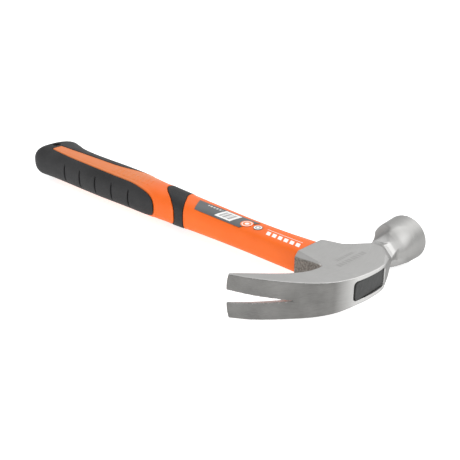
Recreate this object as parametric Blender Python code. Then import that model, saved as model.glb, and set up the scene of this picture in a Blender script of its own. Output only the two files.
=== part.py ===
"""Claw hammer with a forged steel head and a fibreglass handle in a two-material grip.

Design axes: +X runs up the handle to the head, +Y points out of the striking face and +Z is
square to the cheeks. The hammer lies on its side. Design zero is the middle of the eye at the
top of the head; the empty named claw_hammer moves it so that the world origin is under the
middle of the whole hammer, at the level that it lies on.
"""
import math

import bmesh
import bpy
import numpy as np
from mathutils import Matrix, Vector

MM = 0.001
TOUCH = 0.3                     # clearance between neighbouring pieces, mm
MERGE = 0.004                   # points closer than this after a cut are one, mm
REACH = 40.0                    # how far cutting solids are drawn past what they cut, mm

# Whole hammer, mm
BUTT_X = -315.0                 # end of the grip
HEAD_TOP_X = 2.0                # top of the head over the eye

# Poll, mm
POLL_AXIS_X = -18.4
POLL_RADIUS = 14.6
FACE_Y = 67.1
FACE_CHAMFER = 1.5
BELL_START_Y = 36.5             # where the bell rises out of the neck
BELL_START_RADIUS = 6.0
BELL_END_Y = 50.5               # where it meets the poll's slight cone
BELL_END_RADIUS = 14.0

# Claws, mm
CLAW_TIP_Y = -66.0
SLOT_TIP = (-49.6, -65.4)       # x, y of the middle of the slot's open end
SLOT_TIP_HALF_GAP = 3.9
SLOT_APEX = (-18.4, -44.7)      # x, y where the nail slot closes
SLOT_OVERRUN = 1.3              # how far the slot's wedge is drawn on past the tips
SLOT_BEVEL = 0.45               # how fast the slot widens into the depth of the claws
SLOT_DEPTH = 15.0
SLOT_BEVEL_START = -4.0         # where the bevel begins and is full, along the slot from its apex
SLOT_BEVEL_FULL = 5.0
CROTCH_CENTRE = (-25.6, -17.2)  # x, y of the hollow between the claws and the skirt
CROTCH_RADIUS = 3.0

# Eye and skirt, mm
SKIRT_END_X = -45.5
SKIRT_FACE_Y = 13.4             # the skirt's two sides at its end
SKIRT_CLAW_Y = -12.0
EYE_CENTRE_Y = -0.5
EYE_TOP = (14.6, 6.1)           # half sizes in y and z at the top of the head
EYE_BOTTOM = (10.0, 5.4)        # and from the waist down to the end of the skirt
EYE_WAIST_X = -15.0
EYE_LEAN = 1.0                  # how far the top of the eye leans to the claws
EYE_CORNER = 2.4
PLUG_TOP_X = 0.8
PLUG_BOTTOM_X = -3.6

# Fibreglass core, mm
CORE_HALF = (8.4, 3.9)
CORE_CORNER = 2.6
CORE_TOP_X = -4.4
CORE_END_X = -290.0

# Grip, mm
RUBBER = 2.2                    # thickness of the rubber over the jacket
GRIP_END_X = -155.0             # past the head end of both grip pads
BAND_RUBBER = 1.6
BUTT_ROUNDING = 12.6
BUTT_FLATNESS = 0.65            # how much of that rounding the thickness takes
HANG_HOLE_X = -301.2
HANG_HOLE_Y = 4.2
HANG_HOLE_RADIUS = 3.1
GROOVE_FIRST_X = -269.2
GROOVE_PITCH = 18.4
GROOVE_COUNT = 5
GROOVE_HALF_WIDTH = 0.7
GROOVE_DEPTH = 1.6
LABEL_DEPTH = 0.3               # thickness of the printed film
LABEL_GAP = 0.15                # air round the film in its recess
ROUND_LABEL_CENTRE = (-84.0, -0.6)
ROUND_LABEL_RADIUS = 2.9

# Handle sections from butt to head, mm: x, half width to the face side, half width to the
# claw side, half thickness, and how square the section is (2 is an ellipse)
HANDLE_SECTIONS = (
    (-315.0, 30.2, 13.8, 11.8, 2.5),
    (-304.0, 28.1, 13.8, 12.0, 2.5),
    (-297.0, 26.2, 13.4, 11.8, 2.5),
    (-289.0, 23.7, 13.1, 11.7, 2.5),
    (-282.0, 22.2, 13.0, 11.7, 2.5),
    (-270.0, 20.7, 12.9, 11.8, 2.5),
    (-250.0, 19.9, 13.0, 11.9, 2.5),
    (-230.0, 20.2, 13.0, 11.8, 2.5),
    (-205.0, 20.0, 12.7, 11.3, 2.5),
    (-180.0, 16.8, 12.5, 11.0, 2.6),
    (-150.0, 14.6, 11.4, 10.0, 2.9),
    (-120.0, 13.0, 10.5, 9.2, 3.1),
    (-90.0, 11.6, 10.1, 8.6, 3.5),
    (-65.0, 11.7, 10.2, 8.3, 4.0),
    (-45.0, 13.3, 10.4, 8.2, 4.2),
)
JACKET_BED_END_X = -120.0       # head end of the part of the jacket that lies under the rubber
BAND_RANGE = (-190.0, -125.0)   # length of shaft that holds the thumb band
LABEL_RANGE = (-150.0, -70.0)   # and the printed films

# Side view of the claws, mm: outside from the cheek to the tip, then inside back to the crotch
CLAW_OUTSIDE = ((2.0, 4.0), (1.0, -8.0), (-3.1, -24.4), (-9.9, -35.9), (-21.1, -47.1), (-35.8, -58.5),
                (-49.4, -66.0))
CLAW_INSIDE = ((-50.6, -65.2), (-39.6, -51.0), (-29.0, -37.7), (-23.9, -27.5), (-22.6, -20.0))
# Face side of the skirt and neck, then the crown side of the neck
THROAT = ((-44.2, 14.4), (-40.5, 15.4), (-34.0, 17.4), (-30.6, 21.0), (-29.2, 26.0), (-28.9, 34.0))
CROWN = ((-8.5, 41.0), (-7.7, 35.0), (-5.2, 28.0), (-1.7, 20.0), (1.5, 12.0))
NECK_END_Y = 46.0               # where the neck's body ends inside the bell
# Half thickness of the head along y, from claw tip to neck
HEAD_THICKNESS = ((-70.0, 14.2), (-60.0, 13.2), (-47.0, 11.6), (-31.0, 10.2), (-13.0, 8.9), (14.0, 8.1),
                  (30.0, 7.9), (33.5, 7.3), (37.0, 7.0), (50.0, 7.0))
# Distance of the neck's diagonal hollows from the poll axis, against y: crown side, throat side
CROWN_HOLLOW = ((10.5, 19.8), (15.7, 17.7), (22.7, 15.0), (28.2, 11.4), (33.0, 8.4), (37.0, 8.3), (42.0, 10.3),
                (48.0, 13.0), (53.0, 15.5))
THROAT_HOLLOW = ((15.6, 21.7), (17.2, 16.3), (21.4, 12.8), (26.7, 9.5), (32.0, 6.9), (36.3, 7.4), (43.0, 7.8),
                 (46.0, 9.5), (48.0, 11.5), (50.0, 13.2), (53.0, 15.6))
# The same for the flat run-out straight down on the throat side of the poll
THROAT_RUN_OUT = ((34.0, 13.0), (38.0, 10.8), (44.0, 10.2), (46.0, 10.5), (48.0, 11.5), (50.0, 12.7),
                  (52.0, 14.0), (54.0, 15.4))
HOLLOW_REACH = 24.0             # half length of each hollow's cutter


# ---------------------------------------------------------------- curves and outlines

def smooth_value(rows, at, column):
    """Read one column of a table of rows sorted by their first number, on a smooth curve."""
    xs = [row[0] for row in rows]
    vs = [row[column] for row in rows]
    slopes = np.gradient(vs, xs)
    i = int(np.clip(np.searchsorted(xs, at) - 1, 0, len(xs) - 2))
    span = xs[i + 1] - xs[i]
    t = min(max((at - xs[i]) / span, 0.0), 1.0)
    h00 = 2 * t**3 - 3 * t**2 + 1
    h10 = t**3 - 2 * t**2 + t
    h01 = -2 * t**3 + 3 * t**2
    h11 = t**3 - t**2
    return h00 * vs[i] + h10 * span * slopes[i] + h01 * vs[i + 1] + h11 * span * slopes[i + 1]


def smooth_line(points, steps):
    """A smooth line through the points, with steps pieces between each two."""
    pts = [Vector(p) for p in points]
    pts = [pts[0] * 2 - pts[1]] + pts + [pts[-1] * 2 - pts[-2]]
    line = []
    for a, b, c, d in zip(pts, pts[1:], pts[2:], pts[3:]):
        for k in range(steps):
            t = k / steps
            line.append(0.5 * (2 * b + (c - a) * t + (2 * a - 5 * b + 4 * c - d) * t**2
                               + (3 * b - a - 3 * c + d) * t**3))
    line.append(pts[-2])
    return [tuple(p) for p in line]


def arc(centre, radius, start, end, steps):
    """Points on a circle from one angle to another, in degrees."""
    angles = np.radians(np.linspace(start, end, steps + 1))
    return [(centre[0] + radius * math.cos(a), centre[1] + radius * math.sin(a)) for a in angles]


def rounded_rectangle(half_a, half_b, corner, steps=5):
    """Corners of a rounded rectangle, counter-clockwise, around zero."""
    points = []
    for sign_a, sign_b, start in ((1, 1, 0), (-1, 1, 90), (-1, -1, 180), (1, -1, 270)):
        centre = (sign_a * (half_a - corner), sign_b * (half_b - corner))
        points += arc(centre, corner, start, start + 90, steps)
    return points


# ---------------------------------------------------------------- mesh building

def new_object(name, bm):
    """Put a mesh on the hammer's empty, in design axes, faces pointing out."""
    bmesh.ops.recalc_face_normals(bm, faces=bm.faces)
    mesh = bpy.data.meshes.new(name)
    bm.to_mesh(mesh)
    bm.free()
    mesh.transform(Matrix.Scale(MM, 4))
    obj = bpy.data.objects.new(name, mesh)
    bpy.context.scene.collection.objects.link(obj)
    return obj


def loft(name, rings):
    """Join rings of equal length into one closed body with flat ends."""
    bm = bmesh.new()
    loops = [[bm.verts.new(p) for p in ring] for ring in rings]
    for low, high in zip(loops, loops[1:]):
        for k in range(len(low)):
            n = (k + 1) % len(low)
            bm.faces.new((low[k], low[n], high[n], high[k]))
    bm.faces.new(loops[0])
    bm.faces.new(loops[-1])
    return new_object(name, bm)


def prism_z(name, outline, low=-REACH, high=REACH):
    """Extrude an x, y outline along Z."""
    return loft(name, [[(x, y, z) for x, y in outline] for z in (low, high)])


def boolean(target, cutter, operation):
    """Cut, join or intersect for good, then hide the tool object."""
    modifier = target.modifiers.new(cutter.name, "BOOLEAN")
    modifier.operation = operation
    modifier.object = cutter
    modifier.solver = "EXACT"
    bpy.context.view_layer.update()
    evaluated = target.evaluated_get(bpy.context.evaluated_depsgraph_get())
    mesh = bpy.data.meshes.new_from_object(evaluated)
    target.modifiers.clear()
    target.data = mesh
    bpy.data.objects.remove(cutter)


def tidy_mesh(obj):
    """Remove the slivers that cutting leaves, and turn flat many-sided faces into triangles."""
    bm = bmesh.new()
    bm.from_mesh(obj.data)
    bmesh.ops.remove_doubles(bm, verts=bm.verts, dist=MERGE * MM)
    bmesh.ops.dissolve_degenerate(bm, edges=bm.edges, dist=MERGE * MM)
    bmesh.ops.triangulate(bm, faces=bm.faces)
    bm.to_mesh(obj.data)
    bm.free()


def finish(obj, parent, colour, roughness, metallic, smooth_angle=35.0):
    """Material, shading and parent of a finished piece."""
    tidy_mesh(obj)
    material = bpy.data.materials.new(obj.name)
    material.use_nodes = True
    shader = material.node_tree.nodes["Principled BSDF"]
    shader.inputs["Base Color"].default_value = (*colour, 1.0)
    shader.inputs["Roughness"].default_value = roughness
    shader.inputs["Metallic"].default_value = metallic
    obj.data.materials.clear()
    obj.data.materials.append(material)
    obj.data.shade_smooth()
    obj.data.set_sharp_from_angle(angle=math.radians(smooth_angle))
    obj.parent = parent


# ---------------------------------------------------------------- steel head

def head_outline():
    """Side view of the claws, eye block, skirt and neck, one closed x, y line."""
    outside = smooth_line(CLAW_OUTSIDE, 5)
    inside = smooth_line(CLAW_INSIDE, 4)
    crotch = arc(CROTCH_CENTRE, CROTCH_RADIUS, 20, 95, 4)
    skirt = [(-41.5, -12.8), (SKIRT_END_X, SKIRT_CLAW_Y), (SKIRT_END_X, SKIRT_FACE_Y)]
    neck = [(THROAT[-1][0], NECK_END_Y), (CROWN[0][0], NECK_END_Y)]
    return outside + inside + crotch + skirt + smooth_line(THROAT, 3) + neck + smooth_line(CROWN, 4)


def head_plan():
    """View along X: half thickness against y, mirrored into one closed y, z line."""
    ys = np.linspace(HEAD_THICKNESS[0][0], HEAD_THICKNESS[-1][0], 26)
    top = [(y, smooth_value(HEAD_THICKNESS, y, 1)) for y in ys]
    return top + [(y, -z) for y, z in reversed(top)]


def bell_radius(y):
    """Radius of the flared body that joins the neck to the poll."""
    t = (BELL_END_Y - y) / (BELL_END_Y - BELL_START_Y)
    return BELL_END_RADIUS - (BELL_END_RADIUS - BELL_START_RADIUS) * t * t


def poll():
    """Bell and round poll with its flat chamfered face, turned about the poll axis."""
    profile = [(y, bell_radius(y)) for y in np.linspace(BELL_START_Y, BELL_END_Y, 9)]
    profile += [(FACE_Y - FACE_CHAMFER, POLL_RADIUS), (FACE_Y, POLL_RADIUS - FACE_CHAMFER)]
    angles = [2 * math.pi * k / 48 for k in range(48)]
    rings = [[(POLL_AXIS_X + r * math.cos(a), y, r * math.sin(a)) for a in angles] for y, r in profile]
    return loft("poll", rings)


def neck_cutter(turn, hollow):
    """Block that cuts one diagonal hollow of the neck and runs out in a scallop on the poll."""
    profile = smooth_line(hollow, 3) + [(hollow[-1][0], REACH), (hollow[0][0], REACH)]
    block = loft("neck_cutter", [[(t, y, q) for y, q in profile] for t in (-HOLLOW_REACH, HOLLOW_REACH)])
    block.data.transform(Matrix.Rotation(math.radians(turn), 4, "Y"))
    block.data.transform(Matrix.Translation((POLL_AXIS_X * MM, 0, 0)))
    return block


def eye_body(name, low_x, high_x, shrink):
    """Solid that fills the eye between two heights, smaller all round by shrink."""
    def ring(x):
        t = max((x - EYE_WAIST_X) / (HEAD_TOP_X - EYE_WAIST_X), 0.0)
        half_y, half_z = [low + (high - low) * t - shrink for low, high in zip(EYE_BOTTOM, EYE_TOP)]
        outline = rounded_rectangle(half_y, half_z, EYE_CORNER)
        return [(x, EYE_CENTRE_Y - EYE_LEAN * t + y, z) for y, z in outline]
    stations = [low_x] + [x for x in (EYE_WAIST_X,) if low_x < x < high_x] + [high_x]
    return loft(name, [ring(x) for x in stations])


def nail_slot():
    """Wedge between the claws: closed at the apex, widest past the tips and into their depth."""
    apex = Vector(SLOT_APEX)
    along = Vector(SLOT_TIP) - apex
    length = along.length
    along.normalize()
    outward = Vector((-along.y, along.x))
    thin = 0.05
    far = length * SLOT_OVERRUN
    taper = SLOT_TIP_HALF_GAP / length
    deep = SLOT_BEVEL * SLOT_DEPTH
    outer = ((0.0, thin), (SLOT_BEVEL_FULL, taper * SLOT_BEVEL_FULL), (far, taper * far))
    inner = ((SLOT_BEVEL_START, thin), (SLOT_BEVEL_FULL, taper * SLOT_BEVEL_FULL + deep),
             (far, taper * far + deep))
    rings = []
    for side, stations in ((-SLOT_DEPTH, inner), (0.0, outer), (REACH, outer)):
        upper = [(*(apex + along * reach + outward * side), gap) for reach, gap in stations]
        rings.append(upper + [(x, y, -z) for x, y, z in reversed(upper)])
    return loft("nail_slot", rings)


def steel_head():
    head = prism_z("hammer_head", head_outline())
    ends = (SKIRT_END_X - REACH, HEAD_TOP_X + REACH)
    plan = loft("plan", [[(x, y, z) for y, z in head_plan()] for x in ends])
    boolean(head, plan, "INTERSECT")
    boolean(head, poll(), "UNION")
    for turn, hollow in ((45.0, CROWN_HOLLOW), (135.0, CROWN_HOLLOW), (-45.0, THROAT_HOLLOW),
                         (-135.0, THROAT_HOLLOW), (-90.0, THROAT_RUN_OUT)):
        boolean(head, neck_cutter(turn, hollow), "DIFFERENCE")
    boolean(head, eye_body("eye", SKIRT_END_X - 5.0, HEAD_TOP_X + 5.0, 0.0), "DIFFERENCE")
    boolean(head, nail_slot(), "DIFFERENCE")
    return head


# ---------------------------------------------------------------- handle

def core_ring(x, grow=0.0):
    outline = rounded_rectangle(CORE_HALF[0] + grow, CORE_HALF[1] + grow, CORE_CORNER + grow)
    return [(x, EYE_CENTRE_Y + y, z) for y, z in outline]


def handle_ring(x, inset, count=48):
    """One section of the handle, drawn in by inset all round."""
    face, claw, thick, square = [smooth_value(HANDLE_SECTIONS, x, c) for c in (1, 2, 3, 4)]
    end = BUTT_X + inset
    t = min(max((end + BUTT_ROUNDING - x) / BUTT_ROUNDING, 0.0), 1.0)
    drawn_in = BUTT_ROUNDING * (1 - math.sqrt(1 - t**2.2))
    ring = []
    for k in range(count):
        a = 2 * math.pi * k / count
        c = math.cos(a)
        s = math.sin(a)
        wide = (face if c > 0 else claw) - drawn_in - inset
        high = thick - BUTT_FLATNESS * drawn_in - inset
        r = (abs(c / wide)**square + abs(s / high)**square)**(-1 / square)
        ring.append((x, r * c, r * s))
    return ring


def handle_body(name, low_x, high_x, inset, pitch=7.5):
    """Solid of the handle's outer shape between two heights, smaller all round by inset."""
    start = max(low_x, BUTT_X + inset)
    stations = []
    if start < BUTT_X + inset + BUTT_ROUNDING:
        turns = np.linspace(0.0, math.pi / 2, 7)
        stations = [BUTT_X + inset + BUTT_ROUNDING * (1 - math.cos(a)) for a in turns]
        start = stations[-1]
    count = max(2, int((high_x - start) / pitch))
    stations += list(np.linspace(start, high_x, count + 1))[1 if stations else 0:]
    return loft(name, [handle_ring(x, inset) for x in stations])


def window_outline(grow=0.0):
    """The orange window between the two grip pads and the bare shaft beyond, in plan view."""
    claw_edge = ((-295.6, -3.8), (-281.0, -5.0), (-260.0, -6.1), (-225.0, -6.6), (-200.0, -6.4),
                 (-188.0, -7.7), (-177.0, -9.3), (-171.0, -10.2), (-168.6, -11.3), (-167.6, -12.7),
                 (-167.1, -20.0))
    face_edge = ((-186.0, 26.0), (-196.0, 20.0), (-206.0, 14.6), (-217.0, 9.8), (-230.0, 6.8),
                 (-255.0, 6.0), (-280.0, 5.7), (-295.6, 5.2))
    end = SKIRT_END_X + REACH
    line = smooth_line([(x, y - grow) for x, y in claw_edge], 3) + [(end, -REACH), (end, REACH)]
    return line + smooth_line([(x, y + grow) for x, y in face_edge], 3)


def band_outline(grow=0.0):
    """The thumb band in plan view: narrow on the claw side, wide on the face side."""
    left = ((-173.0, 30.0), (-173.2, 9.0), (-168.4, 1.3), (-154.6, -8.0), (-146.9, -14.0), (-146.5, -30.0))
    right = ((-140.3, -30.0), (-140.9, -13.0), (-145.8, -4.0), (-152.7, 7.4), (-155.2, 30.0))
    line = smooth_line([(x - grow, y) for x, y in left], 4)
    return line + smooth_line([(x + grow, y) for x, y in right], 4)


def label_outline(grow=0.0):
    """Printed strip with slanted ends on the cheek side of the shaft, in plan view."""
    g = grow
    return [(-140.0 - g, 4.4 + g), (-133.8 - g, -7.0 - g), (-94.0 + g, -7.0 - g), (-87.0 + g, 5.0 + g)]


def round_label_outline(grow=0.0):
    """Small round print next to the strip, in plan view."""
    return arc(ROUND_LABEL_CENTRE, ROUND_LABEL_RADIUS + grow, 0, 345, 23)


FILMS = {"shaft_label": label_outline, "round_label": round_label_outline}


def hang_hole(radius):
    return prism_z("hang_hole", arc((HANG_HOLE_X, HANG_HOLE_Y), radius, 0, 345, 23))


def fibreglass_core():
    return loft("fibreglass_core", [core_ring(CORE_END_X), core_ring(CORE_TOP_X)])


def handle_jacket():
    """Orange plastic round the core, drawn in under the rubber and bare at the window."""
    inside_x = SKIRT_END_X - TOUCH
    jacket = handle_body("handle_jacket", BUTT_X, JACKET_BED_END_X, RUBBER + TOUCH)
    bare = handle_body("bare", BUTT_X, inside_x, 0.0)
    boolean(bare, prism_z("window", window_outline(-TOUCH)), "INTERSECT")
    band = handle_body("band_seat", *BAND_RANGE, -RUBBER)
    boolean(band, prism_z("band_plan", band_outline(TOUCH)), "INTERSECT")
    boolean(band, band_bed(BAND_RUBBER + TOUCH), "DIFFERENCE")
    boolean(bare, band, "DIFFERENCE")
    boolean(jacket, bare, "UNION")
    for outline in FILMS.values():
        recess = prism_z("recess", outline(grow=LABEL_GAP), 0.0)
        boolean(recess, handle_body("bed", *LABEL_RANGE, LABEL_DEPTH + LABEL_GAP), "DIFFERENCE")
        boolean(jacket, recess, "DIFFERENCE")
    passage = loft("passage", [core_ring(CORE_END_X - TOUCH, TOUCH), core_ring(inside_x + 10.0, TOUCH)])
    boolean(jacket, passage, "DIFFERENCE")
    boolean(jacket, hang_hole(HANG_HOLE_RADIUS), "DIFFERENCE")
    return jacket


def rear_grip():
    """Soft rubber in one piece: a claw side pad, a face side pad and the butt that joins them."""
    grip = handle_body("rear_grip", BUTT_X, GRIP_END_X, 0.0)
    boolean(grip, handle_body("bed", BUTT_X, GRIP_END_X + REACH, RUBBER), "DIFFERENCE")
    boolean(grip, prism_z("window", window_outline(0.0)), "DIFFERENCE")
    for k in range(GROOVE_COUNT):
        x = GROOVE_FIRST_X + k * GROOVE_PITCH
        depth_y = smooth_value(HANDLE_SECTIONS, x, 2) - GROOVE_DEPTH
        outline = [(x - GROOVE_HALF_WIDTH, -depth_y), (x - GROOVE_HALF_WIDTH, -REACH),
                   (x + GROOVE_HALF_WIDTH, -REACH), (x + GROOVE_HALF_WIDTH, -depth_y)]
        boolean(grip, prism_z("groove", outline), "DIFFERENCE")
    boolean(grip, hang_hole(HANG_HOLE_RADIUS), "DIFFERENCE")
    return grip


def band_bed(depth):
    """The shaft under the band, a little longer than the band's own length of shaft."""
    return handle_body("band_bed", BAND_RANGE[0] - 10.0, BAND_RANGE[1] + 10.0, depth)


def thumb_band():
    band = handle_body("thumb_band", *BAND_RANGE, 0.0)
    boolean(band, band_bed(BAND_RUBBER), "DIFFERENCE")
    boolean(band, prism_z("plan", band_outline(0.0)), "INTERSECT")
    return band


def printed_film(name):
    """Thin printed film that lies in its recess of the jacket, flush with the shaft."""
    film = prism_z(name, FILMS[name](), 0.0)
    boolean(film, handle_body("skin", *LABEL_RANGE, 0.0), "INTERSECT")
    boolean(film, handle_body("bed", LABEL_RANGE[0] - 5.0, LABEL_RANGE[1] + 5.0, LABEL_DEPTH), "DIFFERENCE")
    return film


def eye_bond():
    """Hardened resin between the core and the wall of the eye."""
    bond = eye_body("eye_bond", SKIRT_END_X + TOUCH, CORE_TOP_X - TOUCH, TOUCH)
    low = core_ring(SKIRT_END_X - 5.0, TOUCH)
    boolean(bond, loft("core_space", [low, core_ring(CORE_TOP_X + 5.0, TOUCH)]), "DIFFERENCE")
    return bond


# ---------------------------------------------------------------- the hammer

def build():
    for old in list(bpy.data.objects):
        bpy.data.objects.remove(old)
    root = bpy.data.objects.new("claw_hammer", None)
    bpy.context.scene.collection.objects.link(root)
    middle_x = 0.5 * (BUTT_X + HEAD_TOP_X)
    middle_y = 0.5 * (CLAW_TIP_Y + FACE_Y)
    root.location = (-middle_x * MM, -middle_y * MM, POLL_RADIUS * MM)

    steel = (0.52, 0.52, 0.50)
    finish(steel_head(), root, steel, 0.33, 1.0)
    finish(eye_body("eye_plug", PLUG_BOTTOM_X, PLUG_TOP_X, TOUCH), root, (0.045, 0.047, 0.047), 0.5, 0.0)
    finish(eye_bond(), root, (0.55, 0.44, 0.20), 0.4, 0.0)
    finish(fibreglass_core(), root, (0.72, 0.66, 0.42), 0.45, 0.0)
    finish(handle_jacket(), root, (1.0, 0.22, 0.05), 0.38, 0.0)
    finish(rear_grip(), root, (0.045, 0.045, 0.047), 0.65, 0.0)
    finish(thumb_band(), root, (0.045, 0.045, 0.047), 0.65, 0.0)
    finish(printed_film("shaft_label"), root, (0.12, 0.13, 0.14), 0.45, 0.0)
    finish(printed_film("round_label"), root, (0.80, 0.80, 0.78), 0.45, 0.0)


build()
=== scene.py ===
"""Looks of the claw hammer, built round its CAD model.

Shapes are worked out in the hammer's own design axes, in millimetres: +X runs up the handle to
the head, +Y points out of the striking face, +Z is square to the cheeks, and zero is the middle
of the eye at the top of the head. Each large piece is a signed distance field, below zero inside
the piece, that surface_net turns into a closed quad mesh with rounded edges.
"""
import math

import bpy
import numpy as np
from mathutils import Matrix, Vector
from mathutils.geometry import delaunay_2d_cdt


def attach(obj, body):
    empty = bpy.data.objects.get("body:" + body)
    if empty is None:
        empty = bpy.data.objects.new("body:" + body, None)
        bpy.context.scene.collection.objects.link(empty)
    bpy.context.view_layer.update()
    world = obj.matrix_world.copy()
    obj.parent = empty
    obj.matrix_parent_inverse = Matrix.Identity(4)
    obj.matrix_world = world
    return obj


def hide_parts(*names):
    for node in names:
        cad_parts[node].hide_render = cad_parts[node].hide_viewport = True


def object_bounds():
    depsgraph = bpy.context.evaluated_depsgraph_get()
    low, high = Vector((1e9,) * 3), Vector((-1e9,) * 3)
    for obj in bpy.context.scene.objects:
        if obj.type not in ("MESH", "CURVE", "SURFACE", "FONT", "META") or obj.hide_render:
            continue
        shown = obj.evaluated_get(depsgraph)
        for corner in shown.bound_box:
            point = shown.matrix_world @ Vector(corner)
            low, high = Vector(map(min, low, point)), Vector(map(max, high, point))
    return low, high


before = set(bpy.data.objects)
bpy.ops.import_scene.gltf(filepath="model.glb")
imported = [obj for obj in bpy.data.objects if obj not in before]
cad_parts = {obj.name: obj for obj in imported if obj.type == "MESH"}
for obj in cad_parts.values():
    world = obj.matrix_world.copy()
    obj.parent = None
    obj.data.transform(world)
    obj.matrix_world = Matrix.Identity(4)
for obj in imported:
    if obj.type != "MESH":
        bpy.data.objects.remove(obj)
cad_low, cad_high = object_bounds()

MM = 0.001
ROOT_2 = math.sqrt(2)
BUTT_X = -315.0
FACE_Y = 67.1
POLL_AXIS_X = -18.4
POLL_RADIUS = 14.6
POLL_CHAMFER = 1.5
TOUCH = 0.3
# Design axes to the row frame: the same three faces of the CAD box in both.
SHIFT = np.array((cad_low.x / MM - BUTT_X, cad_high.y / MM - FACE_Y, cad_high.z / MM / 2))

# Side view of the head, mm
CLAW_OUTSIDE = ((2.0, 4.0), (1.0, -8.0), (-3.1, -24.4), (-9.9, -35.9), (-21.1, -47.1), (-35.8, -58.5),
                (-49.4, -66.0))
CLAW_INSIDE = ((-50.6, -65.2), (-39.6, -51.0), (-29.0, -37.7), (-23.9, -27.5), (-22.6, -20.0))
CROTCH = ((-22.8, -16.4), (-23.9, -14.9), (-26.3, -14.2))
SKIRT = ((-41.5, -12.9), (-45.5, -12.2), (-45.5, 13.4))
THROAT = ((-44.2, 14.4), (-40.5, 15.4), (-34.0, 17.4), (-30.6, 21.0), (-29.2, 26.0), (-28.9, 34.0))
CROWN = ((-8.5, 41.0), (-7.7, 35.0), (-5.2, 28.0), (-1.7, 20.0), (1.5, 12.0))
# Half thickness of the head against y, mm
THICKNESS = ((-70.0, 14.2), (-60.0, 13.2), (-47.0, 11.6), (-31.0, 10.2), (-13.0, 8.9), (14.0, 8.1),
             (30.0, 7.9), (33.5, 7.3), (37.0, 7.0), (70.0, 7.0))
# Radius of the bell and poll against y, mm, below zero where the bell has run out
BELL = ((-80.0, -60.0), (20.0, -6.0), (30.0, 1.0), (36.5, 5.6), (38.0, 7.8), (40.0, 9.8), (42.0, 11.5),
        (44.0, 12.5), (46.0, 13.2), (48.0, 13.6), (49.6, 13.8), (51.5, 14.05),
        (FACE_Y - POLL_CHAMFER, POLL_RADIUS), (FACE_Y, POLL_RADIUS - POLL_CHAMFER),
        (80.0, POLL_RADIUS - POLL_CHAMFER))
# Distance of the diagonal flats from the poll axis against y, mm: crown side, then throat side
CROWN_FLATS = ((-80.0, 70.0), (4.0, 26.5), (10.5, 19.8), (15.7, 17.7), (22.7, 15.0), (28.2, 11.4),
               (30.8, 9.3), (33.0, 8.4), (36.0, 8.2), (39.0, 8.8), (42.0, 10.3), (45.0, 11.8),
               (48.5, 13.1), (51.5, 14.0), (54.0, 14.6), (80.0, 30.0))
THROAT_FLATS = ((-80.0, 90.0), (12.0, 27.0), (15.6, 21.7), (17.2, 16.3), (21.4, 12.8), (26.7, 9.5),
                (29.5, 7.7), (31.8, 6.9), (33.5, 6.9), (36.3, 7.4), (43.0, 7.8), (46.0, 9.5),
                (48.0, 11.5), (50.0, 13.2), (53.0, 15.6), (80.0, 30.0))
# Distance of the flat under the throat from the poll axis against y, mm
THROAT_RUN_OUT = ((-80.0, 90.0), (20.0, 30.0), (34.0, 13.0), (38.0, 10.8), (44.0, 10.2), (46.0, 10.5),
                  (48.0, 11.5), (50.0, 12.7), (52.0, 14.0), (54.0, 15.4), (80.0, 40.0))
# Edge radii and fillets of the head, mm
CHEEK_EDGE = 0.7
FACE_EDGE = 0.5
BELL_FILLET = 0.8
CROWN_FLAT_EDGE = ((40.0, 0.6), (50.0, 2.0))
THROAT_FLAT_EDGE = 0.6
RUN_OUT_EDGE = 0.4
TIP_EDGE = 0.5
SLOT_EDGE = 0.15
SKIRT_EDGE = 0.3
EYE_EDGE = 0.55
# Fall of the striking face towards its rim, mm for each square mm
FACE_CROWNING = 0.0022
SLOT_APEX = (-18.4, -44.7)
SLOT_TIP = (-49.6, -65.4)
SLOT_HALF_GAP = 3.9
SLOT_END = 1.0
SLOT_BEVEL = 0.45
SLOT_LIP = 0.4
SLOT_BEVEL_RUN = 8.0
SLOT_LIMIT_Y = 15.6
TIP_PROUD = 0.3
TIP_SLANT = 1.3
TIP_WIDTH = 9.5
# The skirt's corners: half width and half thickness, and the chamfer against x, mm
SKIRT_HALF_Y = 12.4
SKIRT_HALF_Z = 8.4
SKIRT_CHAMFER = ((-46.0, 3.2), (-27.0, -1.0))
SKIRT_TOP_X = -26.0
SKIRT_FAR_Y = -15.8
# Forged-in mark: x of each row, half height, half length and pitch of its bars, mm
STAMP_MIDDLE_Y = 3.5
STAMP_BAR_SHARE = 0.34
STAMP_ROWS = ((-16.2, 1.9, 13.0, 2.7), (-21.0, 1.1, 8.5, 1.9))
EYE_CENTRE_Y = -0.5
EYE_SHIFT_Y = ((-60.0, 0.0), (-15.0, 0.0), (2.0, -1.0), (6.0, -1.2))
EYE_HALF_Y = ((-60.0, 10.0), (-15.0, 10.0), (2.0, 14.6), (6.0, 15.6))
EYE_HALF_Z = ((-60.0, 5.4), (-15.0, 5.4), (2.0, 6.1), (6.0, 6.3))
EYE_CORNER = 2.4
PLUG_TOP_X = 0.5
PLUG_BOTTOM_X = -3.6
PLUG_CROWNING = 0.0016

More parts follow.
